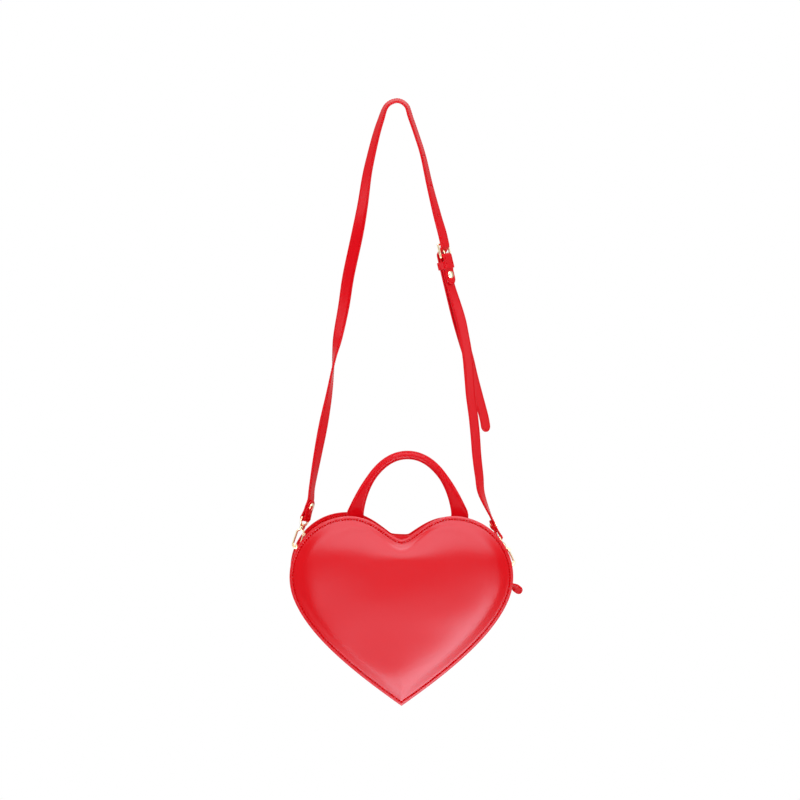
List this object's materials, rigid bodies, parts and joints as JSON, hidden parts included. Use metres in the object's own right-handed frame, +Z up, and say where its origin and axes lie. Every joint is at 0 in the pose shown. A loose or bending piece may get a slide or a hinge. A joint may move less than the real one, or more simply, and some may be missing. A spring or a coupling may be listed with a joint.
{
  "type": "heart shaped purse",
  "caption": "Heart shaped red leather purse with a zipped gusset, a rolled top handle and a buckled shoulder strap clipped to rings.",
  "frame": {"origin": "underside of the strap's top bend, where the purse hangs from a peg", "axes": "+X to the right seen from the front, +Y to the back, +Z up; the front heart faces -Y"},
  "size_m": [0.2497, 0.082, 0.6557],
  "materials": {
    "red_leather": "smooth glossy coated leather",
    "gold_metal": "polished pale gold plating",
    "lining_cloth": "plain woven lining",
    "zip_tape": "woven zip tape",
    "zip_tooth": "dyed zip teeth",
    "board": "stiffening board",
    "cord": "soft handle core"
  },
  "bodies": {
    "strap": {"strap_long": "red_leather", "strap_short": "red_leather", "strap_rivets": "gold_metal", "buckle_frame": "gold_metal", "clasp_eye_left": "gold_metal", "clasp_eye_right": "gold_metal"},
    "prong": {"buckle_prong": "gold_metal"},
    "keeper": {"keeper": "red_leather"},
    "hook_left": {"clasp_hook_left": "gold_metal", "gate_pin_left": "gold_metal"},
    "hook_right": {"clasp_hook_right": "gold_metal", "gate_pin_right": "gold_metal"},
    "gate_left": {"clasp_gate_left": "gold_metal"},
    "gate_right": {"clasp_gate_right": "gold_metal"},
    "bag": {"front_panel": "red_leather", "back_panel": "red_leather", "front_board": "board", "back_board": "board", "front_lining": "lining_cloth", "back_lining": "lining_cloth", "gusset_left": "red_leather", "gusset_right": "red_leather", "gusset_lining": "lining_cloth", "zip_strip_front": "red_leather", "zip_strip_back": "red_leather", "zip_tape_front": "zip_tape", "zip_tape_back": "zip_tape", "zip_teeth_front": "zip_tooth", "zip_teeth_back": "zip_tooth", "zip_stops": "gold_metal", "handle_wrap": "red_leather", "handle_core": "cord", "ring_tab_left": "red_leather", "ring_tab_right": "red_leather"},
    "ring_left": {"d_ring_left": "gold_metal"},
    "ring_right": {"d_ring_right": "gold_metal"},
    "slider": {"zip_slider": "gold_metal"},
    "pull": {"zip_pull_link": "gold_metal", "zip_pull": "red_leather"}
  },
  "joints": [
    {"name": "bag_swing", "type": "hinge", "parent": "strap", "child": "bag", "pos_m": [-0.11099, 0, -0.4868], "axis": [0.9966, 0, -0.0824], "range_deg": [-8, 5]},
    {"name": "clasp_left_swivel", "type": "hinge", "parent": "strap", "child": "hook_left", "pos_m": [-0.10991, 0, -0.48368], "axis": [0.3256, 0, 0.9455], "range_deg": [-20, 20]},
    {"name": "clasp_right_swivel", "type": "hinge", "parent": "strap", "child": "hook_right", "pos_m": [0.12471, 0, -0.50341], "axis": [-0.427, 0, 0.9042], "range_deg": [-8, 6]},
    {"name": "gate_left_hinge", "type": "hinge", "parent": "hook_left", "child": "gate_left", "pos_m": [-0.10167, 0, -0.47202], "axis": [0, 1, 0], "range_deg": [0, 20], "stiffness_Nm_per_rad": 0.05},
    {"name": "gate_right_hinge", "type": "hinge", "parent": "hook_right", "child": "gate_right", "pos_m": [0.12199, 0.002, -0.48955], "axis": [-0.4521, 0.866, -0.2135], "range_deg": [0, 20], "stiffness_Nm_per_rad": 0.05},
    {"name": "ring_left_hinge", "type": "hinge", "parent": "bag", "child": "ring_left", "pos_m": [-0.10865, 0, -0.49178], "axis": [0, 1, 0], "range_deg": [-3, 3]},
    {"name": "ring_right_hinge", "type": "hinge", "parent": "bag", "child": "ring_right", "pos_m": [0.121, 0, -0.51073], "axis": [0, 1, 0], "range_deg": [-3, 3]},
    {"name": "zip_slide", "type": "hinge", "parent": "bag", "child": "slider", "pos_m": [0.059, -0.015, -0.515], "axis": [0, -1, 0], "range_deg": [0, 88], "deforming": ["zip_teeth_front", "zip_teeth_back"]},
    {"name": "zip_pull_swing", "type": "hinge", "parent": "slider", "child": "pull", "pos_m": [0.11942, -0.015, -0.5224], "axis": [0, 1, 0], "range_deg": [-95, 38]},
    {"name": "prong_hinge", "type": "hinge", "parent": "strap", "child": "prong", "pos_m": [0.05304, 0, -0.16892], "axis": [-0.652, -0.7431, -0.1505], "range_deg": [0, 4]},
    {"name": "keeper_slide", "type": "slide", "parent": "strap", "child": "keeper", "axis": [-0.225, 0, 0.9744], "range_m": [-0.002, 0.001]}
  ]
}
